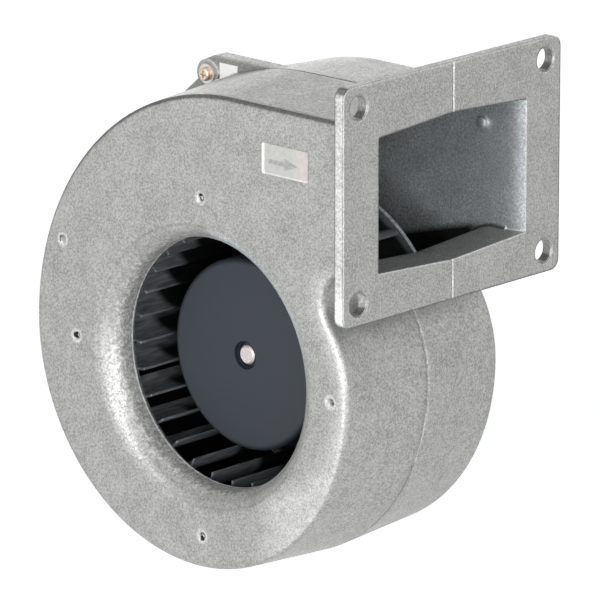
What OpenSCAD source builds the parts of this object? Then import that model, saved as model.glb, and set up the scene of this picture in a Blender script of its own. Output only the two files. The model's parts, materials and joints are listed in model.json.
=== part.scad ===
// Single-inlet DC blower: a volute casing of two die-cast halves with a split outlet
// flange, a forward-curved impeller, and an external-rotor motor inside the impeller.
//
// Frame: the origin is the middle of the outlet flange's hole pattern, on its mating face.
// +X is the way the air leaves, +Z is up, and the fan axis is parallel to Y.
// Every piece is drawn about the fan axis, with x and y across it and z towards the inlet,
// and on_axis() takes it to its place. The seam between the casing halves is z = 0.

/* [Volute casing] */
// Depth of each casing half, from the seam to its outer face
half_depth = 45.3; // [43:0.1:60]
// Wall thickness of the perimeter
casing_wall = 3; // [2:0.1:4]
// Wall thickness of the two side faces
face_wall = 3.4; // [2.5:0.1:4]
// Reach of the casing from the fan axis on the outlet side, at the seam
scroll_right = 82.4; // [79:0.1:90]
// Reach of the casing below the fan axis, at the seam
scroll_bottom = 87.5; // [84:0.1:100]
// Reach of the casing from the fan axis away from the outlet, at the seam
scroll_left = 96.9; // [90:0.1:110]
// Reach of the casing above the fan axis, at the seam
scroll_top = 117.6; // [112:0.1:130]
// Radius of the scroll's first arc, next to the cut-off
start_r = 54.6; // [50:0.1:62]
// Radius of the scroll's second arc, below the first
side_r = 87.9; // [82:0.1:92]
// Draft of each half's perimeter, in degrees
draft = 3.5; // [2:0.5:5]
// Radius of the outer edge of the side faces
edge_r = 2.5; // [2:0.1:4]
// Chamfer along the outer edge of the seam
seam_chamfer = 0.3; // [0.1:0.1:0.5]

/* [Outlet] */
// Outer height of the outlet duct at the seam
duct_h = 66.2; // [60:0.1:70]
// Radius of the fillet under the duct at the cut-off, at the seam
cutoff_r = 11.4; // [8:0.1:14]
// Distance from the fan axis to the flange's mating face
axis_to_flange = 95.2; // [93:0.1:120]
// Flange width, along the fan axis
flange_w = 128; // [124:0.5:150]
// Flange height
flange_h = 97; // [94:0.5:120]
// Flange thickness
flange_t = 4.6; // [3:0.1:6]
// Corner radius of the flange
flange_corner_r = 4.5; // [2:0.1:6]
// Height of the flange's middle above the duct's middle
flange_rise = 2; // [0:0.1:4]
// Pitch of the flange holes along the fan axis
hole_pitch_w = 110; // [104:0.5:114]
// Pitch of the flange holes upwards
hole_pitch_h = 79.4; // [78:0.1:84]
// Diameter of the flange holes
hole_d = 9.6; // [6:0.1:10]
// Width of the outlet opening at the flange face
outlet_w = 87; // [85:0.1:88]
// Length over which the duct's side walls flare out to that width
flare_l = 9; // [6:0.5:12]

/* [Inlet] */
// Throat diameter of the inlet nozzle
inlet_d = 104.8; // [96:0.1:108]
// Depth of the nozzle's end below the front face
nozzle_l = 14.3; // [13:0.1:15]
// Radius of the nozzle's rounded mouth
mouth_r = 10; // [8:0.5:12]
// Pitch circle of the pilot holes round the inlet
pilot_pcd = 142; // [136:0.5:144]
// Diameter of the pilot holes
pilot_d = 2.6; // [2:0.1:3.5]
// Depth of the pilot holes
pilot_l = 2; // [1:0.1:2.2]
// Width of the countersink round each pilot hole
pilot_sink = 1; // [0.2:0.1:1.2]

/* [Earth lug] */
// Thickness of the lug on the rear half
lug_t = 7.2; // [5:0.1:9]
// Radius of the lug round its screw
lug_r = 6; // [5.5:0.1:7]
// Distance of the earth screw from the fan axis, away from the outlet
lug_x = 38.4; // [38:0.1:41]
// Height of the earth screw above the fan axis
lug_y = 108.1; // [106:0.1:109]
// Distance of the lug's upper corner from the fan axis, away from the outlet
lug_corner_x = 35.9; // [34:0.1:38]
// Height of the lug's top above the fan axis
lug_top = 115.9; // [115:0.1:117]
// Nominal diameter of the earth screw
earth_d = 3; // [3:0.5:4]
// Length of the earth screw under its head
earth_l = 6; // [5:0.5:8]

/* [Impeller] */
// Outer diameter of the impeller
impeller_d = 130; // [126:0.5:134]
// Radial depth of the ring of blades
blade_depth = 13.5; // [11:0.1:14]
// Front of the impeller, from the seam towards the inlet
impeller_front = 29; // [26:0.1:29.5]
// Back of the impeller, from the seam away from the inlet
impeller_back = 30; // [28:0.1:31]
// Thickness of the back plate and the front ring
plate_t = 1.5; // [1:0.1:2]
// Number of blades
blade_count = 29; // [24:1:34]
// Thickness of a blade
blade_t = 1; // [0.8:0.1:1.4]
// Radius of a blade's curve
blade_curve_r = 12; // [11:0.5:14]
// Angle through which a blade curves
blade_sweep = 80; // [70:1:88]
// How far the front ring is set back from the blades' inner edges
ring_setback = 3.5; // [0:0.1:5]

/* [Rotor] */
// Outer diameter of the rotor cup
rotor_d = 80; // [78:0.5:84]
// Front of the rotor cup, from the seam towards the inlet
rotor_face = 19.5; // [18:0.1:22]
// Wall thickness of the rotor cup
rotor_wall = 2; // [1.5:0.1:2.5]
// Radius of the rotor cup's front edge
rotor_edge_r = 2.5; // [2:0.1:4]
// Width of the flange at the cup's open end
cup_flange_w = 5.4; // [5:0.1:7]
// Diameter of the hole in the middle of the cup's face
cup_hole_d = 12; // [11:0.1:14]
// Thickness of the magnet ring
magnet_t = 4; // [3:0.1:5]
// Length of the magnet ring
magnet_l = 30; // [26:0.5:32]
// Number of rivets that hold the impeller to the cup
rivet_count = 6; // [4:1:8]
// Diameter of the rivets
rivet_d = 2.8; // [2:0.1:3]

/* [Shaft and bearings] */
// Diameter of the shaft
shaft_d = 8; // [7:0.1:9]
// Outer diameter of the ball bearings
bearing_d = 22; // [20:0.5:24]
// Width of the ball bearings
bearing_w = 7; // [6:0.1:8]
// Number of balls in a bearing
ball_count = 7; // [5:1:8]
// Front of the front bearing, from the seam towards the inlet
front_bearing_z = 8; // [6:0.1:9]
// Diameter of the hub that holds the shaft in the cup
hub_d = 16; // [15:0.1:18]
// Diameter of the hub's flange, under the cup's face
hub_flange_d = 28; // [24:0.5:34]
// Thickness of the hub's flange
hub_flange_t = 3; // [2:0.1:4]

/* [Stator] */
// Height of the lamination stack
stack_l = 24; // [20:0.5:26]
// Front of the lamination stack, from the seam towards the inlet
stack_z = 6; // [4:0.1:7]
// Number of stator teeth
tooth_count = 12; // [9:3:12]
// Width of a tooth
tooth_w = 5; // [4:0.1:6]
// Air gap between the stator and the magnets
air_gap = 0.6; // [0.4:0.1:1]
// How far the windings stand out past the stack at each end
winding_over = 4.5; // [3:0.1:5]

/* [Motor carrier] */
// Diameter of the carrier plate
carrier_d = 104; // [100:0.5:116]
// Thickness of the carrier plate
carrier_t = 3; // [2.5:0.1:4]
// Diameter of the opening for the carrier in the rear half
seat_d = 83; // [80:0.5:86]
// Wall thickness of the bearing tube
tube_wall = 2.5; // [2:0.1:3]
// Pitch circle of the carrier screws
carrier_pcd = 93; // [91:0.5:95]
// Nominal diameter of the carrier screws
carrier_screw_d = 4; // [3:0.5:4]
// Diameter of the circuit board
board_d = 74; // [70:0.5:76]
// Thickness of the circuit board
board_t = 1.6; // [1:0.1:2]
// Pitch circle of the board screws
board_pcd = 62; // [58:0.5:64]
// Nominal diameter of the board screws
board_screw_d = 3; // [2.5:0.5:3.5]
// Height of the board above the carrier plate's inner face
board_rise = 8.8; // [8.5:0.1:9.5]
// Outer diameter of the cable grommet
grommet_d = 12; // [10:0.1:13]
// Bore of the cable grommet
grommet_bore = 5.5; // [4:0.1:6]

/* [Labels] */
// Length of the direction label
label_w = 25; // [20:0.5:28]
// Height of the direction label
label_h = 12.6; // [10:0.1:14]
// Distance of that label's middle from the flange's mating face
label_to_flange = 48.6; // [40:0.1:60]
// Distance of that label's middle from the top of the casing
label_to_top = 23.7; // [14:0.1:30]
// Width of the blank seal over the seam
seal_w = 10; // [8:0.1:14]

/* [Hidden] */

$fn = 96;

// Clearances: of seated pieces, between bodies that turn, and the overlap that cuts clean
fit = 0.02;
gap = 0.5;
over = 1;
// Steps in the round part of a drafted or rounded profile
arc_steps = 8;

cast_colour = [0.74, 0.74, 0.72];
steel_colour = [0.62, 0.64, 0.66];
dark_colour = [0.2, 0.22, 0.26];

// Slope of the drafted walls
slope = tan(draft);

// Centres of the scroll's four arcs at the seam, each tangent to the next
bottom_r = scroll_left + scroll_right - side_r;
side_c = [scroll_right - side_r, side_r - scroll_bottom];
bottom_c = [side_c.x, bottom_r - scroll_bottom];
top_r = scroll_top - bottom_c.y;
top_c = [top_r - scroll_left, bottom_c.y];
start_c = [scroll_right - start_r, side_c.y];

// The duct, and the centre of the fillet that joins its underside to the scroll
duct_top = scroll_top;
duct_bottom = scroll_top - duct_h;
duct_mid = (duct_top + duct_bottom) / 2;
cutoff_y = duct_bottom - cutoff_r;
cutoff_a = asin((cutoff_y - start_c.y) / (start_r + cutoff_r));
cutoff_c = start_c + (start_r + cutoff_r) * [cos(cutoff_a), sin(cutoff_a)];

// The flange
axis_drop = duct_mid + flange_rise;
flange_back = axis_to_flange - flange_t;
hole_chamfer = 0.5;

// Inside of the casing
inner_depth = half_depth - face_wall;
inner_edge_r = 2;
outlet_half = outlet_w / 2;
flare_start = axis_to_flange - flare_l;
flare_r = (pow(flare_l, 2) + pow(outlet_half - inner_depth, 2)) / (2 * (outlet_half - inner_depth));

// Inlet nozzle, which ends inside the casing
throat_r = inlet_d / 2;
nozzle_end = half_depth - nozzle_l;
mouth_z = half_depth - mouth_r;

// A lone dimple on the front face, as polar coordinates about the fan axis, and the mark of
// an ejector pin on the inside of the rear half, from the flange's face and the duct's top
dimple_at = [87.9, 153.4];
dimple_d = 3.4;
dimple_depth = 0.5;
pip_at = [21.2, 18.6];
pip_d = 4.6;
pip_h = 1.5;

// Earth lug: its foot on the scroll, its boss that stands proud of the seam, and its screw
lug_foot_a = 127;
lug_foot_rise = 3.1;
lug_foot = top_c + (top_r + lug_foot_rise) * [cos(lug_foot_a), sin(lug_foot_a)];
lug_arm = [lug_x - lug_corner_x, lug_top - lug_y];
lug_turn = atan2(lug_arm.y, lug_arm.x) + acos(lug_r / norm(lug_arm));
lug_boss_t = 1;
earth_head_d = 1.9 * earth_d;
earth_washer_d = 2.75 * earth_d;
earth_washer_t = 0.8;

// Impeller
blade_front = impeller_front - plate_t;
blade_back = plate_t - impeller_back;
ring_wall = 1;
ring_lip = 1.2;
blade_out_r = impeller_d / 2 - ring_wall - 0.1;
blade_in_r = impeller_d / 2 - blade_depth;
blade_turn = -2.9;
ring_in_r = blade_in_r + ring_setback;

// Rotor cup, from its face to its open end behind the impeller's back plate
rotor_r = rotor_d / 2;
cup_in_r = rotor_r - rotor_wall;
cup_end = -impeller_back - rotor_wall;
cup_floor = rotor_face - rotor_wall;
rivet_r = rotor_r + cup_flange_w / 2;
magnet_mid = stack_z - stack_l / 2;
magnet_r = cup_in_r - magnet_t;
shaft_inset = 0.6;
shaft_front = rotor_face - shaft_inset;
shaft_chamfer = 0.7;
hub_recess = 1.5;
hub_collar = 1.8;
hub_rim = 1.2;
hub_rim_play = 0.4;
rivet_head = 0.8;
rivet_head_t = 0.9;
rivet_bevel = 0.5;

// Carrier and bearing tube
seat_z = -half_depth;
carrier_back = seat_z - carrier_t;
carrier_chamfer = 1;
spigot_h = 6;
spigot_t = 2.5;
rib_count = 12;
rib_t = 2;
rib_h = 1.5;
rib_end = 4;
tube_in_r = bearing_d / 2 + fit;
tube_r = tube_in_r + tube_wall;
tube_front_rim = 1;
tube_front = front_bearing_z + tube_front_rim;
tube_foot = [2, 3];
shoulder = 2;
shoulder_r = tube_in_r - shoulder;
rear_bearing_z = seat_z + 2 + bearing_w;
spring_t = 0.8;
spring_play = 0.3;
ring_t = 1;
ring_d = shaft_d + 3;
ring_mouth = 2.4;
groove_t = 1.1;
groove_depth = 0.6;
shaft_tail = 1.6;
shaft_back = rear_bearing_z - bearing_w - ring_t - shaft_tail;
cap_t = 1.2;
cap_wall = 0.8;
cap_rim = 1.8;
cap_dome = [3, 0.6];
screw_play = 0.5;
carrier_boss_r = 4.5;
carrier_boss_h = 5;
carrier_boss_end = carrier_boss_h - inner_depth;
carrier_head_d = 2 * carrier_screw_d;
carrier_screw_l = 9;

// Circuit board behind the rotor, on three posts of the carrier
board_z = seat_z + board_rise;
board_play = 1;
board_hole_r = tube_r + board_play;
board_screw_l = 6;
board_head_d = 1.8 * board_screw_d;
post_d = board_screw_d + 3.5;
post_tip = 1;

// Parts on the board, as width, depth and height, and the radius on which they stand
part_r = 25.5;
transistor = [6.5, 6, 2.3];
transistor_angles = [0, 30, 60, 120, 150, 180];
capacitor_d = 8;
capacitor_h = 6.5;
capacitor_angles = [225, 250];
header = [5, 12, 6];
header_angle = 300;

// The cable grommet, on the carrier plate below the bearing tube
grommet_y = -32;
grommet_grip = 1.5;
grommet_lip = 1.6;
grommet_taper = 1;
sleeve_l = 9;
sleeve_t = 1.3;

// Stator
stator_r = magnet_r - air_gap;
stack_back = stack_z - stack_l;
stator_yoke = 4;
tooth_tip = 2.8;
slot_in_r = tube_r + stator_yoke;
slot_out_r = stator_r - tooth_tip;
slot_mouth = 2.4;
insulator_t = 0.8;
insulator_in = 0.6;
insulator_out = 0.4;
winding_play = 0.2;
winding_in = 0.4;
winding_out = 0.6;
winding_half_angle = 180 / tooth_count - 0.8;

// Ball bearings: ring thickness, balls and the grooves they run in
race_t = (bearing_d - shaft_d) / 2;
ring_radial = 0.3 * race_t;
ball_r = 0.26 * race_t;
ball_pitch_r = (bearing_d + shaft_d) / 4;
ball_gap = 0.12;

// The direction label, on the front face, and the seal beside the earth screw
label_c = [axis_to_flange - label_to_flange, scroll_top - label_to_top];
label_t = 0.3;
label_corner_r = 1;
seal_left = lug_r + fit - lug_x;
seal_right = seal_left + seal_w;
seal_top = lug_top - 2.4;
seal_drop = 4.5;

// ---- shared shapes ----

module on_axis() translate([-axis_to_flange, 0, -axis_drop]) rotate([90, 0, 0]) children();

function arc(c, r, from, to, steps = arc_steps) =
    [for (i = [0:steps]) c + r * [cos(from + (to - from) * i / steps), sin(from + (to - from) * i / steps)]];

// Section of one half, from the seam up: a drafted wall, a rounded edge and a flat face
function half_section(r, depth, edge, chamfer) =
    let (edge_z = depth - edge)
    let (edge_c = r - edge_z * slope - edge / cos(draft))
    concat([[0, 0], [r - chamfer, 0], [r - chamfer * slope, chamfer]],
        arc([edge_c, edge_z], edge, draft, 90),
        [[0, depth]]);

// Section of what is left free round an inside fillet, from the seam up
function fillet_section(r, depth, edge, chamfer) =
    let (edge_z = depth - edge)
    let (edge_c = r + edge_z * slope + edge / cos(draft))
    concat([[0, 0], [r + chamfer, 0], [r + chamfer * slope, chamfer]],
        arc([edge_c, edge_z], edge, 180 - draft, 90),
        [[edge_c, depth + over], [0, depth + over]]);

// Section of the duct, as heights above the fan axis against distance from the seam
function duct_section(top, bottom, depth, edge, chamfer) =
    let (upper = half_section(top, depth, edge, chamfer))
    let (lower = half_section(-bottom, depth, edge, chamfer))
    concat([for (i = [1:len(upper) - 2]) upper[i]],
        [for (i = [len(lower) - 2:-1:1]) [-lower[i].x, lower[i].y]]);

module sector(c, r, from, to, depth, edge, chamfer)
    translate(c)
        rotate(from)
            rotate_extrude(angle = to - from)
                polygon(half_section(r, depth, edge, chamfer));

module along_x(from, to) translate([from, 0, 0]) rotate([90, 0, 90]) linear_extrude(to - from) children();

// One half of the volute as a solid, set in from the outline by a wall
module volute(inset, depth, edge, chamfer, duct_end) {
    sector(top_c, top_r - inset, 90, 180, depth, edge, chamfer);
    sector(bottom_c, bottom_r - inset, 180, 270, depth, edge, chamfer);
    sector(side_c, side_r - inset, 270, 360, depth, edge, chamfer);
    sector(start_c, start_r - inset, 0, cutoff_a, depth, edge, chamfer);
    difference() {
        linear_extrude(depth)
            polygon([top_c, bottom_c, side_c, start_c, cutoff_c, [cutoff_c.x, duct_mid], [top_c.x, duct_mid]]);
        translate(cutoff_c)
            rotate_extrude()
                polygon(fillet_section(cutoff_r + inset, depth, edge, chamfer));
    }
    along_x(top_c.x, duct_end)
        polygon(duct_section(duct_top - inset, duct_bottom + inset, depth, edge, chamfer));
}

// A rectangle with round corners, on its middle
module round_rect(w, h, r) {
    square([w - 2 * r, h], center = true);
    square([w, h - 2 * r], center = true);
    for (x = [-1, 1])
        for (y = [-1, 1])
            translate([x * (w / 2 - r), y * (h / 2 - r)])
                circle(r);
}

// The mouth of the duct: six-sided, with side walls that flare out to the flange's face
module duct_mouth()
    difference() {
        along_x(flare_start, axis_to_flange + over)
            polygon([[duct_bottom + casing_wall, -over],
                [duct_top - casing_wall, -over],
                [duct_top - casing_wall, 0],
                [duct_top - casing_wall - outlet_half * slope, outlet_half],
                [duct_bottom + casing_wall + outlet_half * slope, outlet_half],
                [duct_bottom + casing_wall, 0]]);
        translate([flare_start, duct_mid, inner_depth + flare_r])
            rotate([90, 0, 0])
                cylinder(h = duct_h, r = flare_r, center = true, $fn = 180);
    }

module flange_holes()
    for (y = [-1, 1])
        translate([flange_back - over, axis_drop + y * hole_pitch_h / 2, hole_pitch_w / 2])
            rotate([0, 90, 0]) {
                cylinder(h = flange_t + 2 * over, d = hole_d);
                translate([0, 0, over + flange_t - hole_chamfer])
                    cylinder(h = hole_chamfer + fit, d1 = hole_d, d2 = hole_d + 2 * (hole_chamfer + fit));
            }

// What both casing halves share: shell, half flange and duct mouth
module casing_half()
    difference() {
        union() {
            volute(0, half_depth, edge_r, seam_chamfer, flange_back + over);
            intersection() {
                along_x(flange_back, axis_to_flange)
                    translate([axis_drop, 0])
                        round_rect(flange_h, flange_w, flange_corner_r);
                translate([flange_back, axis_drop - flange_h, 0])
                    cube([flange_t, 2 * flange_h, flange_w]);
            }
        }
        volute(casing_wall, inner_depth, inner_edge_r, 0, axis_to_flange + over);
        duct_mouth();
        flange_holes();
        translate([axis_to_flange, axis_drop, 0])
            rotate([0, 45, 0])
                cube([seam_chamfer * sqrt(2), 2 * flange_h, seam_chamfer * sqrt(2)], center = true);
    }

// ---- casing ----

// Mouth and throat of the nozzle, as what is cut away and as the wall round it
module nozzle_profile(wall)
    polygon(concat([[0, nozzle_end - (wall > 0 ? 0 : over)],
        [throat_r + wall, nozzle_end - (wall > 0 ? 0 : over)]],
        arc([throat_r + mouth_r, mouth_z], mouth_r - wall, 180, 90),
        [[throat_r + mouth_r, half_depth + (wall > 0 ? 0 : over)],
        [0, half_depth + (wall > 0 ? 0 : over)]]));

module pilot_places() {
    for (a = [0:90:270])
        rotate(a)
            translate([pilot_pcd / 2, 0, half_depth])
                children();
}

module front_housing()
    color(cast_colour)
        on_axis()
            difference() {
                union() {
                    casing_half();
                    rotate_extrude() nozzle_profile(casing_wall);
                }
                rotate_extrude() nozzle_profile(0);
                pilot_places() {
                    translate([0, 0, -pilot_l])
                        cylinder(h = pilot_l + over, d = pilot_d);
                    translate([0, 0, -pilot_sink / 2])
                        cylinder(h = pilot_sink / 2 + fit, d1 = pilot_d, d2 = pilot_d + 2 * pilot_sink + 4 * fit);
                }
                rotate(dimple_at[1])
                    translate([dimple_at[0], 0, half_depth - dimple_depth])
                        cylinder(h = dimple_depth + over, d = dimple_d);
            }

// Outline of the lug: round about its screw, with its top along the scroll's top
module lug_outline() {
    translate([-lug_x, lug_y]) circle(lug_r);
    polygon([[-lug_corner_x, lug_top],
        [top_c.x - sqrt(pow(top_r, 2) - pow(lug_top - top_c.y, 2)), lug_top],
        [top_c.x, top_c.y + top_r - casing_wall],
        [lug_foot.x + lug_r, lug_foot.y - lug_r],
        lug_foot,
        [-lug_x - lug_r, lug_y - lug_r / 2],
        [-lug_x - lug_r, lug_y],
        [-lug_x, lug_y] + lug_r * [cos(lug_turn), sin(lug_turn)]]);
}

module carrier_screw_places()
    for (a = [45:90:315])
        rotate(a)
            translate([carrier_pcd / 2, 0, 0])
                children();

module rear_housing()
    color(cast_colour)
        on_axis()
            difference() {
                union() {
                    mirror([0, 0, 1]) casing_half();
                    difference() {
                        union() {
                            translate([0, 0, -lug_t]) linear_extrude(lug_t) lug_outline();
                            difference() {
                                translate([-lug_x, lug_y, -over])
                                    cylinder(h = lug_boss_t + over, r = lug_r);
                                translate([top_c.x, top_c.y, 0])
                                    cylinder(h = lug_boss_t + over, r = top_r + fit);
                            }
                        }
                        mirror([0, 0, 1])
                            translate([0, 0, -over])
                                volute_core();
                    }
                    carrier_screw_places()
                        translate([0, 0, -inner_depth - over])
                            cylinder(h = carrier_boss_h + over, r = carrier_boss_r);
                    translate([axis_to_flange - pip_at.x, duct_top - pip_at.y, -inner_depth - over])
                        cylinder(h = pip_h + over, d = pip_d);
                }
                translate([0, 0, seat_z - over]) cylinder(h = face_wall + 2 * over, d = seat_d);
                carrier_screw_places()
                    translate([0, 0, seat_z - over])
                        cylinder(h = carrier_boss_end - seat_z + 2 * over, d = carrier_screw_d + 2 * fit);
                translate([-lug_x, lug_y, -lug_t - over])
                    cylinder(h = lug_t + lug_boss_t + 2 * over, d = earth_d + 2 * fit);
            }

// The inside of the volute near the lug, which the lug stays clear of
module volute_core()
    translate(top_c)
        cylinder(h = lug_t + 2 * over, r = top_r - casing_wall / 2);

// ---- earth terminal and labels ----

// A screw with a pan head and a cross recess. The head's seat is at z = 0.
module screw(d, l, head_d) {
    head_h = 0.34 * head_d;
    edge = head_h / 2;
    cross_l = 0.52 * head_d;
    cross_w = 0.12 * head_d;
    tip = 0.12 * d;
    difference() {
        rotate_extrude()
            polygon(concat([[0, -l], [d / 2 - tip, -l], [d / 2, tip - l], [d / 2, 0], [head_d / 2, 0]],
                arc([head_d / 2 - edge, head_h - edge], edge, 0, 90),
                [[0, head_h]]));
        for (a = [0, 90])
            rotate(a)
                translate([-cross_l / 2, -cross_w / 2, edge])
                    cube([cross_l, cross_w, head_h]);
    }
}

module earth_washer()
    color("silver")
        on_axis()
            translate([-lug_x, lug_y, lug_boss_t + fit])
                difference() {
                    cylinder(h = earth_washer_t, d = earth_washer_d);
                    translate([0, 0, -over]) cylinder(h = 3 * over, d = earth_d + screw_play);
                }

module earth_screw()
    color("goldenrod")
        on_axis()
            translate([-lug_x, lug_y, lug_boss_t + earth_washer_t + 2 * fit])
                screw(earth_d, earth_l, earth_head_d);

module direction_label()
    color("white")
        on_axis()
            translate([label_c.x, label_c.y, half_depth])
                linear_extrude(label_t)
                    round_rect(label_w, label_h, label_corner_r);

// A blank seal that runs from the lug's face over the front half's perimeter
module seal_label() {
    from = acos((seal_right - top_c.x) / top_r);
    to = acos((seal_left - top_c.x) / top_r);
    color("white")
        on_axis() {
            difference() {
                translate([seal_left, top_c.y, 0])
                    cube([seal_right - seal_left, seal_top - top_c.y, label_t]);
                translate([top_c.x, top_c.y, -over])
                    cylinder(h = 3 * over, r = top_r + label_t / 2, $fn = 180);
            }
            translate(top_c)
                rotate(from)
                    rotate_extrude(angle = to - from)
                        polygon([[top_r + fit, 0],
                            [top_r + label_t, 0],
                            [top_r + label_t, label_t],
                            [top_r + label_t - seal_drop * slope, seal_drop],
                            [top_r + fit - seal_drop * slope, seal_drop]]);
        }
}

// ---- motor carrier and electronics ----

module board_screw_places()
    for (a = [90:120:330])
        rotate(a)
            translate([board_pcd / 2, 0, 0])
                children();

module motor_carrier()
    color(cast_colour)
        on_axis()
            difference() {
                union() {
                    rotate_extrude()
                        polygon([[0, carrier_back],
                            [carrier_d / 2 - carrier_chamfer, carrier_back],
                            [carrier_d / 2, carrier_back + carrier_chamfer],
                            [carrier_d / 2, seat_z],
                            [seat_d / 2 - fit, seat_z],
                            [seat_d / 2 - fit, seat_z + spigot_h],
                            [seat_d / 2 - fit - spigot_t, seat_z + spigot_h],
                            [seat_d / 2 - fit - spigot_t, seat_z],
                            [tube_r + tube_foot.x, seat_z],
                            [tube_r, seat_z + tube_foot.y],
                            [tube_r, tube_front],
                            [0, tube_front]]);
                    board_screw_places()
                        translate([0, 0, seat_z - over])
                            cylinder(h = board_rise + over, d = post_d);
                    carrier_ribs();
                }
                translate([0, 0, front_bearing_z - bearing_w])
                    cylinder(h = bearing_w + tube_front_rim + over, r = tube_in_r);
                translate([0, 0, carrier_back - over])
                    cylinder(h = rear_bearing_z + spring_t - carrier_back + over, r = tube_in_r);
                translate([0, 0, carrier_back]) cylinder(h = tube_front - carrier_back, r = shoulder_r);
                carrier_screw_places()
                    translate([0, 0, carrier_back - over])
                        cylinder(h = carrier_t + 2 * over, d = carrier_screw_d + screw_play);
                board_screw_places()
                    translate([0, 0, board_z - board_screw_l - post_tip])
                        cylinder(h = board_screw_l + post_tip + over, d = board_screw_d + 2 * fit);
                translate([0, grommet_y, carrier_back - over])
                    cylinder(h = carrier_t + 2 * over, d = grommet_d - 2 * grommet_grip);
            }

// Stiffening ribs on the back of the carrier plate, one left out where the grommet sits
module carrier_ribs()
    for (i = [0:rib_count - 1])
        let (a = i * 360 / rib_count)
            if (a != 270)
                rotate(a)
                    translate([tube_r, -rib_t / 2, carrier_back - rib_h])
                        cube([seat_d / 2 - tube_r - rib_end, rib_t, rib_h + over]);

module carrier_screws()
    color(steel_colour)
        on_axis()
            carrier_screw_places()
                translate([0, 0, carrier_back - fit])
                    mirror([0, 0, 1])
                        screw(carrier_screw_d, carrier_screw_l, carrier_head_d);

module bearing_cap()
    color(steel_colour)
        on_axis()
            translate([0, 0, carrier_back])
                rotate_extrude()
                    polygon([[0, -cap_dome.y],
                        [tube_in_r - cap_dome.x, -cap_dome.y],
                        [tube_in_r - fit, 0],
                        [tube_in_r - fit, cap_rim],
                        [tube_in_r - fit - cap_wall, cap_rim],
                        [tube_in_r - fit - cap_wall, cap_t - cap_dome.y],
                        [0, cap_t - cap_dome.y]]);

// A grommet with a groove that grips the carrier plate, and a short sleeve for a cable
module cable_grommet() {
    out_r = grommet_d / 2;
    groove_r = out_r - grommet_grip - fit;
    color([0.1, 0.1, 0.1])
        on_axis()
            translate([0, grommet_y, carrier_back])
                rotate_extrude()
                    polygon([[grommet_bore / 2, -sleeve_l],
                        [grommet_bore / 2 + sleeve_t, -sleeve_l],
                        [out_r - grommet_taper, -grommet_lip],
                        [out_r, -grommet_lip],
                        [out_r, -fit],
                        [groove_r, -fit],
                        [groove_r, carrier_t + fit],
                        [out_r - grommet_taper / 2, carrier_t + fit],
                        [out_r - grommet_taper, carrier_t + grommet_lip],
                        [grommet_bore / 2, carrier_t + grommet_lip]]);
}

module circuit_board()
    color("darkgreen")
        on_axis()
            translate([0, 0, board_z + fit])
                difference() {
                    cylinder(h = board_t, d = board_d);
                    translate([0, 0, -over]) cylinder(h = board_t + 2 * over, r = board_hole_r);
                    board_screw_places()
                        translate([0, 0, -over])
                            cylinder(h = board_t + 2 * over, d = board_screw_d + screw_play);
                }

module board_screws()
    color(steel_colour)
        on_axis()
            board_screw_places()
                translate([0, 0, board_z + board_t + 2 * fit])
                    screw(board_screw_d, board_screw_l, board_head_d);

// Parts on the rear of the board: power transistors, two capacitors and a cable header
module board_parts()
    color([0.15, 0.15, 0.17])
        on_axis()
            mirror([0, 0, 1])
                translate([0, 0, fit - board_z]) {
                    for (a = transistor_angles)
                        rotate(a)
                            translate([part_r, 0, transistor.z / 2])
                                cube(transistor, center = true);
                    for (a = capacitor_angles)
                        rotate(a)
                            translate([part_r, 0, 0])
                                cylinder(h = capacitor_h, d = capacitor_d);
                    rotate(header_angle)
                        translate([part_r, 0, header.z / 2])
                            cube(header, center = true);
                }

// ---- stator ----

// The free space between the teeth, with the narrow mouths to the air gap
module slot_shape() {
    difference() {
        circle(slot_out_r);
        circle(slot_in_r);
        for (i = [0:tooth_count - 1])
            rotate(i * 360 / tooth_count)
                translate([0, -tooth_w / 2])
                    square([stator_r, tooth_w]);
    }
    for (i = [0:tooth_count - 1])
        rotate((i + 0.5) * 360 / tooth_count)
            translate([slot_out_r - over, -slot_mouth / 2])
                square([tooth_tip + 2 * over, slot_mouth]);
}

module stator_core()
    color(steel_colour)
        on_axis()
            translate([0, 0, stack_back])
                linear_extrude(stack_l)
                    difference() {
                        circle(stator_r);
                        circle(tube_r + fit);
                        slot_shape();
                    }

module coil_insulators()
    color("ivory")
        on_axis()
            for (z = [stack_z + fit, stack_back - insulator_t - fit])
                translate([0, 0, z])
                    linear_extrude(insulator_t)
                        difference() {
                            circle(stator_r - insulator_out);
                            circle(tube_r + insulator_in);
                            slot_shape();
                        }

module windings()
    color("peru")
        on_axis()
            for (i = [0:tooth_count - 1])
                rotate(i * 360 / tooth_count)
                    difference() {
                        translate([0, 0, stack_back - winding_over])
                            linear_extrude(stack_l + 2 * winding_over)
                                winding_outline();
                        translate([0, -tooth_w / 2 - winding_play, stack_back - insulator_t - 2 * fit])
                            cube([stator_r,
                                tooth_w + 2 * winding_play,
                                stack_l + 2 * insulator_t + 4 * fit]);
                    }

// A coil seen along the fan axis: a wedge of the ring between the yoke and the tooth's tip
module winding_outline()
    intersection() {
        difference() {
            circle(slot_out_r - winding_out);
            circle(slot_in_r + winding_in);
        }
        polygon([[0, 0],
            stator_r * [1, -tan(winding_half_angle)],
            stator_r * [1, tan(winding_half_angle)]]);
    }

// ---- bearings ----

module bearing_ring(in_r, out_r, front)
    translate([0, 0, front - bearing_w])
        rotate_extrude()
            difference() {
                translate([in_r, 0]) square([out_r - in_r, bearing_w]);
                translate([ball_pitch_r, bearing_w / 2]) circle(ball_r + ball_gap);
            }

module bearing_outer(front)
    color(steel_colour)
        on_axis()
            bearing_ring(bearing_d / 2 - ring_radial, bearing_d / 2, front);

module bearing_inner(front)
    color(steel_colour)
        on_axis()
            bearing_ring(shaft_d / 2 + fit, shaft_d / 2 + ring_radial, front);

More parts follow.
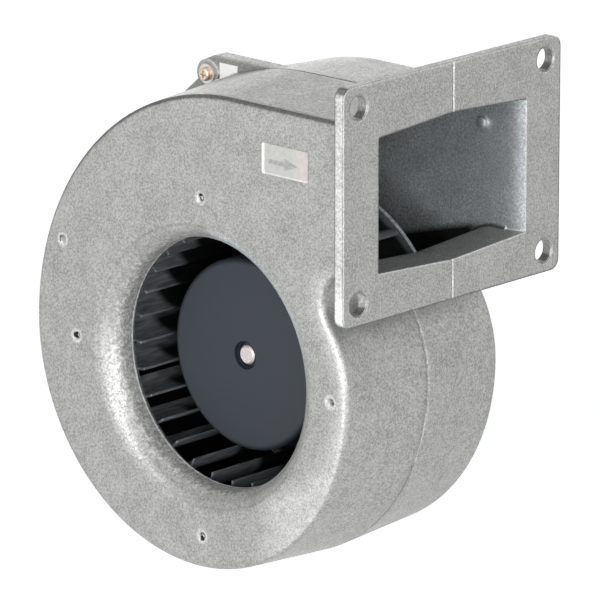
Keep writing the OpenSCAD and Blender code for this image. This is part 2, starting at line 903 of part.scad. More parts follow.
module bearing_balls(front)
    color("silver")
        on_axis()
            for (i = [0:ball_count - 1])
                rotate(i * 360 / ball_count)
                    translate([ball_pitch_r, 0, front - bearing_w / 2])
                        sphere(ball_r, $fn = 32);

module front_bearing_outer() bearing_outer(front_bearing_z);
module rear_bearing_outer() bearing_outer(rear_bearing_z);
module front_bearing_inner() bearing_inner(front_bearing_z);
module rear_bearing_inner() bearing_inner(rear_bearing_z);
module front_bearing_balls() bearing_balls(front_bearing_z);
module rear_bearing_balls() bearing_balls(rear_bearing_z);

// The spring that loads the bearings, between the tube's shoulder and the rear outer ring
module wave_spring()
    color(steel_colour)
        on_axis()
            translate([0, 0, rear_bearing_z + fit])
                difference() {
                    cylinder(h = spring_t - 2 * fit, r = tube_in_r - spring_play);
                    translate([0, 0, -over]) cylinder(h = 3 * over, r = shoulder_r);
                }

// ---- rotor ----

module retaining_ring()
    color(steel_colour)
        on_axis()
            translate([0, 0, rear_bearing_z - bearing_w - ring_t - fit])
                difference() {
                    cylinder(h = ring_t, d = ring_d);
                    translate([0, 0, -over]) cylinder(h = 3 * over, d = shaft_d - 2 * groove_depth + 2 * fit);
                    translate([0, -ring_mouth / 2, -over]) cube([ring_d, ring_mouth, 3 * over]);
                }

module shaft() {
    groove_z = rear_bearing_z - bearing_w - groove_t;
    r = shaft_d / 2;
    color("lightgray")
        on_axis()
            rotate_extrude()
                polygon([[0, shaft_back],
                    [r - shaft_chamfer, shaft_back],
                    [r, shaft_back + shaft_chamfer],
                    [r, groove_z],
                    [r - groove_depth, groove_z],
                    [r - groove_depth, groove_z + groove_t],
                    [r, groove_z + groove_t],
                    [r, shaft_front - shaft_chamfer],
                    [r - shaft_chamfer, shaft_front],
                    [0, shaft_front]]);
}

module rotor_hub()
    color(dark_colour)
        on_axis()
            rotate_extrude()
                polygon([[shaft_d / 2 + fit, front_bearing_z + 2 * fit],
                    [shaft_d / 2 + hub_collar, front_bearing_z + 2 * fit],
                    [shaft_d / 2 + hub_collar, tube_front + gap],
                    [hub_d / 2, tube_front + gap],
                    [hub_d / 2, cup_floor - hub_flange_t],
                    [hub_flange_d / 2, cup_floor - hub_flange_t],
                    [hub_flange_d / 2, cup_floor - fit],
                    [cup_hole_d / 2 - hub_rim_play, cup_floor - fit],
                    [shaft_d / 2 + hub_rim, cup_floor - hub_recess],
                    [shaft_d / 2 + fit, cup_floor - hub_recess]]);

module cup_rivet_places()
    for (i = [0:rivet_count - 1])
        rotate((i + 0.5) * 360 / rivet_count)
            translate([rivet_r, 0, 0])
                children();

module rotor_cup()
    color(dark_colour)
        on_axis()
            difference() {
                rotate_extrude()
                    polygon(concat([[rotor_r + cup_flange_w, cup_end],
                        [rotor_r + cup_flange_w, cup_end + rotor_wall - fit],
                        [rotor_r, cup_end + rotor_wall - fit]],
                        arc([rotor_r - rotor_edge_r, rotor_face - rotor_edge_r], rotor_edge_r, 0, 90),
                        [[cup_hole_d / 2, rotor_face],
                        [cup_hole_d / 2, cup_floor],
                        [cup_in_r, cup_floor],
                        [cup_in_r, cup_end]]));
                cup_rivet_places()
                    translate([0, 0, cup_end - over])
                        cylinder(h = rotor_wall + 2 * over, d = rivet_d + 2 * fit);
            }

module magnet_ring()
    color([0.25, 0.24, 0.23])
        on_axis()
            translate([0, 0, magnet_mid - magnet_l / 2])
                difference() {
                    cylinder(h = magnet_l, r = cup_in_r - fit, $fn = 180);
                    translate([0, 0, -over]) cylinder(h = magnet_l + 2 * over, r = magnet_r, $fn = 180);
                }

// ---- impeller ----

module impeller_back_plate()
    color(dark_colour)
        on_axis()
            difference() {
                rotate_extrude()
                    polygon([[rotor_r + fit, -impeller_back],
                        [impeller_d / 2, -impeller_back],
                        [impeller_d / 2, -impeller_back + plate_t],
                        [rotor_r + fit, -impeller_back + plate_t]]);
                cup_rivet_places()
                    translate([0, 0, -impeller_back - over])
                        cylinder(h = plate_t + 2 * over, d = rivet_d + 2 * fit);
            }

module impeller_front_ring()
    color(dark_colour)
        on_axis()
            rotate_extrude()
                polygon([[ring_in_r, impeller_front - plate_t],
                    [impeller_d / 2 - ring_wall, impeller_front - plate_t],
                    [impeller_d / 2 - ring_wall, impeller_front - plate_t - ring_lip],
                    [impeller_d / 2, impeller_front - plate_t - ring_lip],
                    [impeller_d / 2, impeller_front],
                    [ring_in_r, impeller_front]]);

// One forward-curved blade: radial at the eye, then swept towards the way it turns
module blade()
    translate([blade_in_r, -blade_curve_r, blade_back + fit])
        rotate(90 - blade_sweep)
            rotate_extrude(angle = blade_sweep)
                translate([blade_curve_r - blade_t / 2, 0])
                    square([blade_t, blade_front - blade_back - 2 * fit]);

module impeller_blades()
    color(dark_colour)
        on_axis()
            intersection() {
                for (i = [0:blade_count - 1])
                    rotate(blade_turn + i * 360 / blade_count)
                        blade();
                translate([0, 0, blade_back]) cylinder(h = blade_front - blade_back, r = blade_out_r);
            }

module impeller_rivets() {
    r = rivet_d / 2;
    head_r = r + rivet_head;
    top = rotor_wall + plate_t;
    color(steel_colour)
        on_axis()
            cup_rivet_places()
                translate([0, 0, cup_end])
                    rotate_extrude()
                        polygon([[0, -rivet_head_t],
                            [head_r - rivet_bevel, -rivet_head_t],
                            [head_r, rivet_bevel - rivet_head_t],
                            [head_r, -fit],
                            [r, -fit],
                            [r, top + fit],
                            [head_r, top + fit],
                            [head_r - rivet_bevel, top + rivet_head_t],
                            [0, top + rivet_head_t]]);
}

front_housing();
rear_housing();
earth_screw();
earth_washer();
seal_label();
direction_label();
motor_carrier();
carrier_screws();
bearing_cap();
cable_grommet();
circuit_board();
board_parts();
board_screws();
stator_core();
coil_insulators();
windings();
front_bearing_outer();
rear_bearing_outer();
wave_spring();
front_bearing_balls();
rear_bearing_balls();
front_bearing_inner();
rear_bearing_inner();
retaining_ring();
shaft();
rotor_hub();
rotor_cup();
magnet_ring();
impeller_back_plate();
impeller_blades();
impeller_front_ring();
impeller_rivets();
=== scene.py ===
import json
import math

import bmesh
import bpy
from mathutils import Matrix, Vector


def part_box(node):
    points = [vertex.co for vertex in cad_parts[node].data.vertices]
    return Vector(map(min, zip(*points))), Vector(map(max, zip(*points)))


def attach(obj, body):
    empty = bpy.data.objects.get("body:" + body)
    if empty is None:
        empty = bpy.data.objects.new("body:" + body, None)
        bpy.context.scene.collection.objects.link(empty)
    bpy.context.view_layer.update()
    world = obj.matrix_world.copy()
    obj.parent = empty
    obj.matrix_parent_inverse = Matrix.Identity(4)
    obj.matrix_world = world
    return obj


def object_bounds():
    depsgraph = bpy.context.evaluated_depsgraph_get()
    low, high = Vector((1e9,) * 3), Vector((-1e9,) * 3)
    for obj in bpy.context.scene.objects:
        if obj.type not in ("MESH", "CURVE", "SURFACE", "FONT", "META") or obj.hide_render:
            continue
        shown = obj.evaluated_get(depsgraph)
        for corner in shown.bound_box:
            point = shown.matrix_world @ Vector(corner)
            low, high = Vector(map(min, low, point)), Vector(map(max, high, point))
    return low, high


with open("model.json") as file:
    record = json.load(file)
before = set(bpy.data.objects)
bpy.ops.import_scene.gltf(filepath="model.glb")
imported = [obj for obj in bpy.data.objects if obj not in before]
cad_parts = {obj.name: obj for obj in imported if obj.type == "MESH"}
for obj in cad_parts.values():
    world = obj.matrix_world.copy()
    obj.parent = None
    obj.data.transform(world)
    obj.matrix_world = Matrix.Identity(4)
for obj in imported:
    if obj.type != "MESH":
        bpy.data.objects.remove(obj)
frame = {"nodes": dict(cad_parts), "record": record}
cad_box = [list(corner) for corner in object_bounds()]
nodes = frame["nodes"]

MM = 0.001

# Places on the part, in metres. Across and up are counted from the rotor's axis.
ROTOR_AXIS = (-0.0952, -0.0865)
SCROLL_START = (0.0278, 0.0004)     # middle of the scroll's first arc
TONGUE = (0.0806, 0.04)             # middle of the tongue's fillet
PILOTS = ((0, 0.071), (-0.071, 0), (0, -0.071), (0.071, 0), (-0.0786, 0.0393))
PILOT_RING = (0.0015, 0.0031)
SEAM_HALF = 0.0004
SEAM_BRIGHT_UP = (-0.034, -0.012)       # the stretch of the seam that is painted with a highlight
FLANGE_BACK = -0.012
FLANGE_SIDE = (-0.0042, -0.0006)
FLANGE_FRONT = (-0.062, -0.0615)
OUTER_REACH = (0.07, 0.075)
THROAT = (0.03, 0.0542)
THROAT_BACK = (-0.03, -0.0285)
NOZZLE_LIP = (-0.0319, -0.0305)
SCROLL_REACH = (0.058, 0.06)
REAR_WALL = (0.03, 0.031)
TONGUE_SLOPE = 0.27                 # the painted shadow on the rear wall ends along this slope
SHADOW_UP = (0.036, 0.039)
SHADOW_ACROSS = (0.066, 0.074)
DUCT_HALF = 0.046
BAND_REACH = (0.0425, 0.051)        # the painted highlight band, from the scroll's first arc
BAND_UP = (0.028, 0.036)
BEND_REACH = (0.015, 0.024)         # the painted highlight bend, from the tongue's fillet
BEND_UP = (0.05, 0.058)
BLADE_SHADE = -0.00191              # from here back the blades are painted dark, as painted shade
BLADE_OUTER = (0.0605, 0.063)
RING_RIM = (0.0644, 0.0647)

FACING_FRONT = -1.2                 # past the -1 of a face that looks straight forward
OUTER_ROUNDING = (-0.93, -0.3)

# Lamps, each with its place, its size in metres and its power in watts.
LAMPS_AIM = (-0.095, 0, -0.07)
LAMPS = (
    ("key_right", (1.9, -1.5, 0.35), 1.5, 24),
    ("key_middle", (1.65, -1.9, 0.2), 0.9, 14),
    ("key_left", (0.1, -2.3, 0.5), 1.5, 32),
    ("low_right", (2.3, -0.8, 0.1), 0.6, 5),
    ("rim_left", (-1.6, 1.5, 0.3), 1.0, 5),
    ("rim_right", (0.9, 1.9, 0.5), 1.0, 3),
)
ROOM_TINT = (0.86, 0.94, 1)
ROOM_LIGHT = 0.2

# Grains of the cast skin and of the drawn sheet, per metre.
CLOUD = 70
BLOTCH = 320
SPECK = 1100
THROAT_MOTTLE = 520
DUCT_GRAIN = 1000
STREAK = 700

# Colours
SKIN_DARK = (0.26, 0.26, 0.25)
SKIN_PALE = (0.48, 0.48, 0.465)
DUCT_LIGHT_TINT = (0.93, 0.985, 1.045)
SHEET_DARK = (0.13, 0.145, 0.155)
SHEET_PALE = (0.30, 0.32, 0.335)


# ---- node trees ----


class Tree:
    """The nodes of a material or of the world, with the sums that the finishes share."""

    def __init__(self, tree):
        tree.nodes.clear()
        self.make = tree.nodes
        self.link = tree.links.new

    def node(self, kind, **settings):
        made = self.make.new("ShaderNode" + kind)
        for name, value in settings.items():
            setattr(made, name, value)
        return made

    def feed(self, socket, value):
        """Sets a socket where value is a number, and links it where value is a socket."""
        if isinstance(value, (int, float)):
            socket.default_value = value
        else:
            self.link(value, socket)

    def maths(self, operation, first, second=0):
        made = self.node("Math", operation=operation)
        self.feed(made.inputs[0], first)
        self.feed(made.inputs[1], second)
        return made.outputs[0]

    def times(self, first, *others):
        for other in others:
            first = self.maths("MULTIPLY", first, other)
        return first

    def distance(self, across, up):
        squares = self.maths("ADD", self.times(across, across), self.times(up, up))
        return self.maths("SQRT", squares)

    def dot(self, first, second):
        """second is a socket or a plain direction."""
        made = self.node("VectorMath", operation="DOT_PRODUCT")
        self.link(first, made.inputs[0])
        if isinstance(second, tuple):
            made.inputs[1].default_value = second
        else:
            self.link(second, made.inputs[1])
        return made.outputs["Value"]

    def parts(self, vector):
        made = self.node("SeparateXYZ")
        self.link(vector, made.inputs[0])
        return made.outputs["X"], made.outputs["Y"], made.outputs["Z"]

    def mapped(self, value, from_low, from_high, to_low=0, to_high=1):
        """value carried from one range to another, and held at its ends."""
        made = self.node("MapRange")
        made.inputs["From Min"].default_value = from_low
        made.inputs["From Max"].default_value = from_high
        made.inputs["To Min"].default_value = to_low
        made.inputs["To Max"].default_value = to_high
        self.link(value, made.inputs["Value"])
        return made.outputs[0]

    def inside(self, value, low, high, soft):
        """1 where value lies between low and high, with soft edges."""
        rise = self.mapped(value, low - soft, low + soft)
        fall = self.mapped(value, high - soft, high + soft, 1, 0)
        return self.times(rise, fall)

    def noise(self, vector, scale, detail=3, roughness=0.5):
        made = self.node("TexNoise")
        made.inputs["Scale"].default_value = scale
        made.inputs["Detail"].default_value = detail
        made.inputs["Roughness"].default_value = roughness
        self.link(vector, made.inputs["Vector"])
        return made.outputs["Fac"]

    def ramp(self, value, *stops):
        """A colour for each value. A stop is its position and its colour."""
        made = self.node("ValToRGB")
        elements = made.color_ramp.elements
        elements[0].position, elements[1].position = stops[0][0], stops[1][0]
        for position, _ in stops[2:]:
            elements.new(position)
        for element, (_, colour) in zip(elements, stops):
            element.color = (*colour, 1)
        self.link(value, made.inputs[0])
        return made.outputs[0]

    def darken(self, colour, mask, amount=1):
        """colour times 1 - amount where mask is 1. A minus amount makes it paler."""
        made = self.node("VectorMath", operation="SCALE")
        self.link(colour, made.inputs[0])
        self.link(self.maths("SUBTRACT", 1, self.times(mask, amount)), made.inputs["Scale"])
        return made.outputs[0]

    def relief(self, height, depth, edges=None):
        made = self.node("Bump")
        made.inputs["Strength"].default_value = 1
        made.inputs["Distance"].default_value = depth
        self.link(height, made.inputs["Height"])
        if edges is not None:
            self.link(edges, made.inputs["Normal"])
        return made.outputs[0]

    def put_out(self, kind, shader):
        self.link(shader, self.node("Output" + kind).inputs["Surface"])

    def seen_rays(self):
        """1 for the rays that show the background: straight, mirrored or let through."""
        path = self.node("LightPath").outputs
        shown = self.maths("MAXIMUM", path["Is Camera Ray"], path["Is Glossy Ray"])
        return self.maths("MAXIMUM", shown, path["Is Transmission Ray"])

    def choose(self, mask, plain, chosen):
        made = self.node("MixShader")
        for socket, value in zip(made.inputs, (mask, plain, chosen)):
            self.link(value, socket)
        return made.outputs[0]


def new_material(name):
    material = bpy.data.materials.new(name)
    material.use_nodes = True
    return material, Tree(material.node_tree)


# ---- camera, floor and light ----


def show(name, data):
    piece = bpy.data.objects.new(name, data)
    bpy.context.scene.collection.objects.link(piece)
    return piece


def place_camera():
    camera = show("camera", bpy.data.cameras.new("camera"))
    camera.location = (1.75614, -1.96094, 0.68795)
    camera.rotation_euler = (math.radians(90 - 15.6423), 0, math.radians(43.1643))
    camera.data.sensor_width = 36
    camera.data.lens = 412.536
    camera.data.clip_end = 20
    bpy.context.scene.camera = camera


def floor_paint():
    material, tree = new_material("floor")
    paint = tree.node("BsdfDiffuse")
    paint.inputs["Color"].default_value = (0.8, 0.8, 0.8, 1)
    glow = tree.node("Emission")
    glow.inputs["Strength"].default_value = 0.75
    both = tree.node("AddShader")
    tree.link(paint.outputs[0], both.inputs[0])
    tree.link(glow.outputs[0], both.inputs[1])
    tree.put_out("Material", tree.choose(tree.seen_rays(), paint.outputs[0], both.outputs[0]))
    return material


def lay_floor():
    """A pale floor that keeps a faint shadow and looks white, straight and mirrored."""
    gap = 0.5 * MM
    mesh = bpy.data.meshes.new("floor")
    form = bmesh.new()
    bmesh.ops.create_circle(form, cap_ends=True, segments=64, radius=4)
    bmesh.ops.translate(form, verts=form.verts, vec=(0, 0, cad_box[0][2] - gap))
    form.to_mesh(mesh)
    form.free()
    mesh.materials.append(floor_paint())
    show("floor", mesh)


def area_lamp(name, place, size, power):
    lamp = show(name, bpy.data.lights.new(name, "AREA"))
    lamp.data.shape = "DISK"
    lamp.data.size = size
    lamp.data.energy = power
    lamp.location = place
    aim = Vector(LAMPS_AIM) - Vector(place)
    lamp.rotation_euler = aim.to_track_quat("-Z", "Y").to_euler()


def light_studio():
    """Soft lamps around the part, and a weak, cool room that looks white."""
    for name, place, size, power in LAMPS:
        area_lamp(name, place, size, power)
    world = bpy.data.worlds.new("studio")
    world.use_nodes = True
    tree = Tree(world.node_tree)
    soft = tree.node("Background")
    soft.inputs["Color"].default_value = (*ROOM_TINT, 1)
    soft.inputs["Strength"].default_value = ROOM_LIGHT
    white = tree.node("Background")
    white.inputs["Strength"].default_value = 1
    tree.put_out("World", tree.choose(tree.seen_rays(), soft.outputs[0], white.outputs[0]))
    bpy.context.scene.world = world


# ---- finishes ----


def plain_finish(name, colour, metallic, roughness, grain=900, change=0.15):
    """A finish with a fine grain in its colour, roughness and surface. grain is per metre."""
    material, tree = new_material(name)
    shader = tree.node("BsdfPrincipled")
    shader.inputs["Metallic"].default_value = metallic
    noise = tree.noise(tree.node("TexCoord").outputs["Object"], grain)
    dark = [c * (1 - change) for c in colour]
    pale = [min(1, c * (1 + change)) for c in colour]
    tree.link(tree.ramp(noise, (0.3, dark), (0.7, pale)), shader.inputs["Base Color"])
    rough = tree.mapped(noise, 0, 1, roughness * 0.85, roughness * 1.15)
    tree.link(rough, shader.inputs["Roughness"])
    tree.link(tree.relief(noise, 0.03 * MM), shader.inputs["Normal"])
    tree.put_out("Material", shader.outputs[0])
    return material


class Casting:
    """The cast skin's tree, its colour so far, and where a point of the casing lies."""

    def __init__(self, tree):
        place = tree.node("TexCoord")
        self.tree = tree
        self.spot = place.outputs["Object"]
        self.normal = place.outputs["Normal"]
        self.x, self.y, z = tree.parts(self.spot)
        self.facing_x, self.facing_y, self.facing_z = tree.parts(self.normal)
        self.across = tree.maths("SUBTRACT", self.x, ROTOR_AXIS[0])
        self.up = tree.maths("SUBTRACT", z, ROTOR_AXIS[1])
        self.reach = tree.distance(self.across, self.up)
        self.colour = None

    def darken(self, mask, amount=1):
        self.colour = self.tree.darken(self.colour, mask, amount)

    def away_from(self, middle):
        """The distance from a point that is given across and up."""
        tree = self.tree
        return tree.distance(tree.maths("SUBTRACT", self.across, middle[0]),
                             tree.maths("SUBTRACT", self.up, middle[1]))


def painted_dark_rounding(skin):
    """The outer rounding of the upper left side is painted darker where it faces up and left, as a
    painted dark reflection.
    """
    tree = skin.tree
    rounding = tree.inside(skin.facing_y, *OUTER_ROUNDING, 0.06)
    upward = tree.maths("ADD", tree.times(skin.facing_z, 0.85), tree.times(skin.facing_x, -0.5))
    outer = tree.times(rounding, tree.mapped(upward, 0.2, 0.5), tree.mapped(skin.reach, *OUTER_REACH))
    # painted shade: a dark reflection along the upper left rounding
    skin.darken(outer, 0.6)


def seam_line(skin, blotch):
    """The parting line is painted with a highlight on the flange and along one stretch, and painted
    darker elsewhere, as painted shade that dulls its groove's highlight.
    """
    tree = skin.tree
    wander = tree.mapped(blotch, 0.3, 0.7, -SEAM_HALF / 2, SEAM_HALF / 2)
    seam = tree.inside(tree.maths("ADD", skin.y, wander), -SEAM_HALF, SEAM_HALF, SEAM_HALF / 2)
    seam_highlight_stretch = tree.times(tree.inside(skin.up, *SEAM_BRIGHT_UP, MM), tree.mapped(skin.across, 0.05, 0.055))
    flange = tree.mapped(skin.x, FLANGE_BACK - 2 * MM, FLANGE_BACK + 2 * MM)
    bright = tree.maths("MAXIMUM", seam_highlight_stretch, flange)
    # painted highlight on the flange and the bright stretch, painted shade on the rest of the seam
    skin.darken(seam, tree.mapped(bright, 0, 1, 0.3, -0.5))


def painted_throat_light(skin):
    """The nozzle's throat is painted paler in a mottled grain, as painted light on its wall, and a
    painted highlight runs along its lip.
    """
    tree = skin.tree
    throat = tree.times(tree.inside(skin.reach, *THROAT, MM),
                        tree.mapped(skin.y, *THROAT_BACK, 1, 0))
    # painted light: the throat's wall made paler in mottled patches
    lit_mottle = tree.mapped(tree.noise(skin.spot, THROAT_MOTTLE, 4, 0.75), 0.42, 0.6, -0.1, -1)
    skin.darken(tree.times(throat, lit_mottle))
    # painted highlight: a thin pale line along the nozzle's lip
    skin.darken(tree.times(throat, tree.inside(skin.y, *NOZZLE_LIP, 0.2 * MM)), -2)
    return throat


def painted_scroll_shadow(skin):
    """The scroll's inner wall and the rear wall below the tongue's height are painted dark, as painted
    shadow.

    Returns the masks of the rear wall and of the duct's own walls.
    """
    tree = skin.tree
    spoke = tree.node("CombineXYZ")
    tree.link(skin.across, spoke.inputs["X"])
    tree.link(skin.up, spoke.inputs["Z"])
    inward = tree.mapped(tree.dot(spoke.outputs[0], skin.normal), -0.03, -0.015, 1, 0)
    duct = tree.times(tree.mapped(skin.across, 0, 0.01), tree.mapped(skin.up, 0, 0.02))
    scroll_shade = tree.times(inward, tree.mapped(skin.reach, *SCROLL_REACH),
                        tree.maths("SUBTRACT", 1, duct))
    # painted shadow on the scroll's inner wall
    skin.darken(scroll_shade, 0.93)

    rear = tree.times(tree.inside(skin.facing_y, FACING_FRONT, -0.7, 0.05),
                      tree.mapped(skin.y, *REAR_WALL))
    slope = tree.maths("SUBTRACT", skin.up, tree.times(skin.across, TONGUE_SLOPE))
    rear_shadow = tree.times(rear, tree.mapped(slope, *SHADOW_UP, 1, 0),
                      tree.mapped(skin.across, *SHADOW_ACROSS, 1, 0))
    # painted shadow on the rear wall below the tongue
    skin.darken(rear_shadow, 0.95)
    return rear, tree.times(duct, inward)


def painted_duct_light(skin, rear, wall):
    """Inside the duct the skin is painted paler and bluer, as painted cool light, in a coarser grain.
    """
    tree = skin.tree
    walls = tree.times(tree.maths("MAXIMUM", rear, wall),
                       tree.inside(skin.y, -DUCT_HALF, DUCT_HALF, MM / 2))
    coarse = tree.mapped(tree.noise(skin.spot, DUCT_GRAIN, 3, 0.8), 0.42, 0.58, -0.25, -0.85)
    # painted light: the duct's walls made paler
    skin.darken(tree.times(walls, coarse))
    # painted light: a cool tint on the duct's walls
    light_tint = tree.node("Mix", data_type="RGBA", blend_type="MULTIPLY")
    light_tint.inputs[7].default_value = (*DUCT_LIGHT_TINT, 1)
    tree.link(walls, light_tint.inputs[0])
    tree.link(skin.colour, light_tint.inputs[6])
    skin.colour = light_tint.outputs[2]


def painted_highlights(skin):
    """The flange's front side, the face's right edge and the pilots' rings are painted paler, as
    painted highlights.
    """
    tree = skin.tree
    side = tree.times(tree.inside(skin.x, *FLANGE_SIDE, 0.3 * MM),
                      tree.mapped(skin.y, *FLANGE_FRONT, 1, 0))
    # painted highlight along the flange's front side
    skin.darken(side, -0.6)

    face = tree.inside(skin.facing_y, FACING_FRONT, -0.8, 0.1)
    past_start = tree.maths("SUBTRACT", skin.across, SCROLL_START[0])
    band = tree.times(tree.mapped(skin.away_from(SCROLL_START), *BAND_REACH),
                      tree.mapped(past_start, 0, 0.02), tree.mapped(skin.up, *BAND_UP, 1, 0))
    bend = tree.times(tree.mapped(skin.away_from(TONGUE), *BEND_REACH, 1, 0),
                      tree.mapped(skin.up, *BEND_UP, 1, 0))
    # painted highlight along the face's right edge and its bend
    skin.darken(tree.times(face, tree.maths("MAXIMUM", band, bend)), -0.45)

    for pilot in PILOTS:
        # painted highlight: pale rings round the pilots
        skin.darken(tree.inside(skin.away_from(pilot), *PILOT_RING, 0.3 * MM), -0.5)


def painted_edge_light(skin):
    """Edges that turn up or forward are painted paler, as painted highlights, and the others painted
    darker, as painted shade.

    Right of the nozzle, up to the flange, edges are rounder and keep the skin's own colour.
    Returns the rounded normal.
    """
    tree = skin.tree
    right = tree.times(tree.mapped(skin.across, 0.02, 0.03),
                       tree.mapped(skin.x, FLANGE_BACK, FLANGE_BACK + 4 * MM, 1, 0))
    bevel_normal = tree.node("Bevel", samples=6)
    tree.link(tree.mapped(right, 0, 1, 1.2 * MM, 4 * MM), bevel_normal.inputs["Radius"])
    turned = tree.node("VectorMath", operation="SUBTRACT")
    tree.link(bevel_normal.outputs[0], turned.inputs[0])
    tree.link(tree.node("NewGeometry").outputs["Normal"], turned.inputs[1])
    lifted = tree.dot(turned.outputs[0], (0, -0.7, 0.7))
    # painted highlight and shade on edges, set by which way each edge turns
    edge_light_shade = tree.maths("ADD", tree.mapped(lifted, -0.3, 0.3, 0.6, -0.9), 0.15)
    skin.darken(edge_light_shade, tree.maths("SUBTRACT", 1, right))
    return bevel_normal.outputs[0]


def cast_aluminium():
    """Raw die-cast aluminium: a cloudy, speckled skin, with painted highlights on the seam, edges and
    rubbed-looking places, and painted shade and light in the scroll and duct.
    """
    material, tree = new_material("cast_aluminium")
    shader = tree.node("BsdfPrincipled")
    skin = Casting(tree)
    cloud = tree.noise(skin.spot, CLOUD, 3, 0.5)
    blotch = tree.noise(skin.spot, BLOTCH, 3, 0.6)
    speck = tree.noise(skin.spot, SPECK, 2, 0.7)
    grain = tree.maths("ADD", tree.times(cloud, 0.15), tree.times(blotch, 0.2))
    grain = tree.maths("ADD", grain, tree.times(speck, 0.65))
    skin.colour = tree.ramp(tree.mapped(grain, 0.38, 0.62), (0, SKIN_DARK), (1, SKIN_PALE))

    painted_dark_rounding(skin)
    seam_line(skin, blotch)
    throat = painted_throat_light(skin)
    rear, wall = painted_scroll_shadow(skin)
    painted_duct_light(skin, rear, wall)
    painted_highlights(skin)
    edges = painted_edge_light(skin)

    tree.link(skin.colour, shader.inputs["Base Color"])
    tree.link(tree.mapped(throat, 0, 1, 0.8, 0.6), shader.inputs["Metallic"])
    tree.link(tree.mapped(speck, 0.35, 0.65, 0.58, 0.42), shader.inputs["Roughness"])
    tree.link(tree.relief(grain, 0.1 * MM, edges), shader.inputs["Normal"])
    tree.put_out("Material", shader.outputs[0])
    return material


def impeller_steel():
    """Dark coated sheet with drawn streaks along the blades, painted shade on their deep parts and a
    painted highlight on the ring's rim.
    """
    material, tree = new_material("impeller_steel")
    shader = tree.node("BsdfPrincipled")
    shader.inputs["Metallic"].default_value = 0.6
    spot = tree.node("TexCoord").outputs["Object"]
    drawn = tree.node("Mapping")
    drawn.inputs["Scale"].default_value = (1, 0.15, 1)
    tree.link(spot, drawn.inputs["Vector"])
    streak = tree.noise(drawn.outputs[0], STREAK)
    colour = tree.ramp(streak, (0.3, SHEET_DARK), (0.7, SHEET_PALE))

    spoke = tree.node("VectorMath", operation="MULTIPLY_ADD")
    spoke.inputs[1].default_value = (1, 0, 1)
    spoke.inputs[2].default_value = (-ROTOR_AXIS[0], 0, -ROTOR_AXIS[1])
    tree.link(spot, spoke.inputs[0])
    length = tree.node("VectorMath", operation="LENGTH")
    tree.link(spoke.outputs[0], length.inputs[0])
    reach = length.outputs["Value"]
    slant = tree.dot(spot, (-0.097, 1, 0.093))
    shaded_blades = tree.times(tree.mapped(slant, BLADE_SHADE - 2 * MM, BLADE_SHADE + 2 * MM),
                      tree.mapped(reach, *BLADE_OUTER, 1, 0))
    # painted shade on the blades' deep parts
    colour = tree.darken(colour, shaded_blades, 0.95)
    # painted highlight: a thin pale line on the ring's rim
    colour = tree.darken(colour, tree.mapped(reach, *RING_RIM), -1.8)
    tree.link(colour, shader.inputs["Base Color"])
    tree.link(tree.mapped(streak, 0.3, 0.7, 0.4, 0.55), shader.inputs["Roughness"])

    bevel_normal = tree.node("Bevel", samples=6)
    bevel_normal.inputs["Radius"].default_value = 0.4 * MM
    tree.link(tree.relief(streak, 0.03 * MM, bevel_normal.outputs[0]), shader.inputs["Normal"])
    tree.put_out("Material", shader.outputs[0])
    return material


def label_film():
    """Pale film, a little pink at the right, with painted highlights along its left and lower edges.
    """
    material, tree = new_material("label_film")
    shader = tree.node("BsdfPrincipled")
    shader.inputs["Metallic"].default_value = 0
    shader.inputs["Roughness"].default_value = 0.5
    spot = tree.node("TexCoord").outputs["Object"]
    x, _, z = tree.parts(spot)
    low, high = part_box("direction_label")
    # painted highlight: a bright strip along the left edge
    colour = tree.ramp(tree.mapped(x, low[0], high[0]),
                       (0.045, (0.84, 0.84, 0.82)), (0.075, (0.49, 0.485, 0.46)),
                       (0.6, (0.50, 0.495, 0.47)), (0.85, (0.58, 0.535, 0.515)))
    foot = tree.mapped(z, low[2] + 0.5 * MM, low[2] + 0.9 * MM, 1, 0)
    streak = tree.mapped(tree.noise(spot, 500, 3, 0.6), 0.35, 0.65, 0.07, -0.07)
    # painted highlight along the lower edge
    colour = tree.darken(colour, foot, -0.35)
    tree.link(tree.darken(colour, streak), shader.inputs["Base Color"])
    tree.put_out("Material", shader.outputs[0])
    return material


def make_finishes():
    """A finish for each of the record's material slots."""
    finishes = {
        "cast_aluminium": cast_aluminium(),
        "impeller_steel": impeller_steel(),
        "label_film": label_film(),
    }
    for name, colour, metallic, roughness in (
            ("brass", (0.70, 0.56, 0.45), 1, 0.42),
            ("zinc_steel", (0.66, 0.63, 0.61), 1, 0.42),
            ("rubber", (0.03, 0.03, 0.03), 0, 0.7),
            ("board_laminate", (0.02, 0.12, 0.05), 0, 0.4),
            ("component_plastic", (0.03, 0.03, 0.035), 0, 0.5),
            ("lamination_steel", (0.30, 0.31, 0.33), 1, 0.45),
            ("insulator_plastic", (0.60, 0.56, 0.44), 0, 0.5),
            ("copper", (0.62, 0.28, 0.13), 1, 0.35),
            ("bearing_steel", (0.60, 0.55, 0.54), 0.8, 0.5),
            ("magnet_ferrite", (0.08, 0.08, 0.08), 0, 0.6)):
        finishes[name] = plain_finish(name, colour, metallic, roughness)
    finishes["coated_steel"] = plain_finish("coated_steel", (0.013, 0.019, 0.027), 0, 0.55, 1200, 0.05)
    return finishes


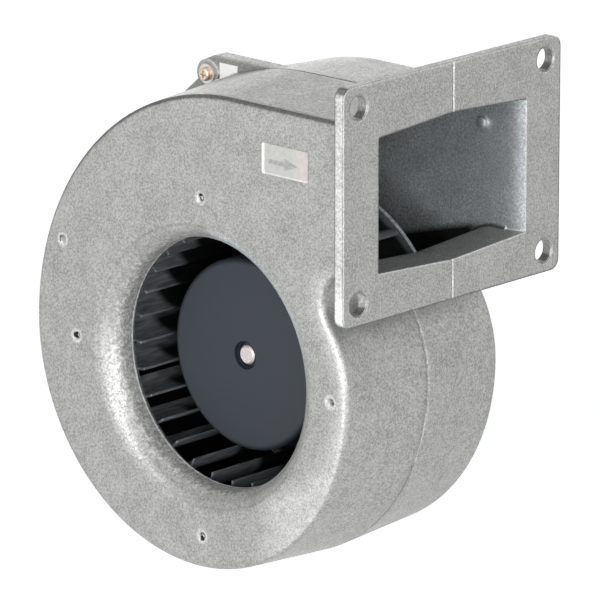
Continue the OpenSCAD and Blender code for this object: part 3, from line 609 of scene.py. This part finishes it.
# ---- pieces ----


def smooth_curves(piece):
    """Shades a piece's curves as smooth and keeps its edges of more than 40 degrees crisp."""
    weld = piece.modifiers.new("weld", "WELD")
    weld.merge_threshold = 0.001 * MM
    edges = piece.modifiers.new("edges", "EDGE_SPLIT")
    edges.split_angle = math.radians(40)
    edges.use_edge_sharp = False
    piece.modifiers.new("normals", "WEIGHTED_NORMAL")


def dress(name, finish):
    mesh = nodes[name].data
    mesh.materials.clear()
    mesh.materials.append(finish)


def dress_nodes():
    finishes = make_finishes()
    for part in frame["record"]["subparts"]:
        dress(part["node"], finishes[part["material_slot"]])
    dress("seal_label", plain_finish("seal_paper", (0.86, 0.86, 0.83), 0, 0.5, 600, 0.04))
    for name in ("front_housing", "rear_housing"):
        smooth_curves(nodes[name])


def direction_arrow():
    """A plain arrow, printed on the label and pointing to the outlet."""
    low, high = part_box("direction_label")
    middle = (low[2] + high[2]) / 2 - 0.8 * MM
    tail, neck, tip = (low[0] + step * MM for step in (3.8, 12.5, 19.6))
    shaft, head = 0.9 * MM, 2.5 * MM
    proud, depth = 0.04 * MM, 0.06 * MM
    outline = ((tail, shaft), (neck, shaft), (neck, head), (tip, 0),
               (neck, -head), (neck, -shaft), (tail, -shaft))
    form = bmesh.new()
    face = form.faces.new([form.verts.new((x, low[1] - proud, middle + rise)) for x, rise in outline])
    solid = bmesh.ops.extrude_face_region(form, geom=[face])
    moved = [corner for corner in solid["geom"] if isinstance(corner, bmesh.types.BMVert)]
    bmesh.ops.translate(form, verts=moved, vec=(0, depth, 0))
    bmesh.ops.recalc_face_normals(form, faces=form.faces)
    mesh = bpy.data.meshes.new("direction_arrow")
    form.to_mesh(mesh)
    form.free()
    mesh.materials.append(plain_finish("arrow_ink", (0.36, 0.36, 0.35), 0, 0.6, 900, 0.25))
    arrow = show("direction_arrow", mesh)
    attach(arrow, "housing")


dress_nodes()
direction_arrow()
place_camera()
lay_floor()
light_studio()
bpy.context.scene.view_settings.view_transform = "Standard"
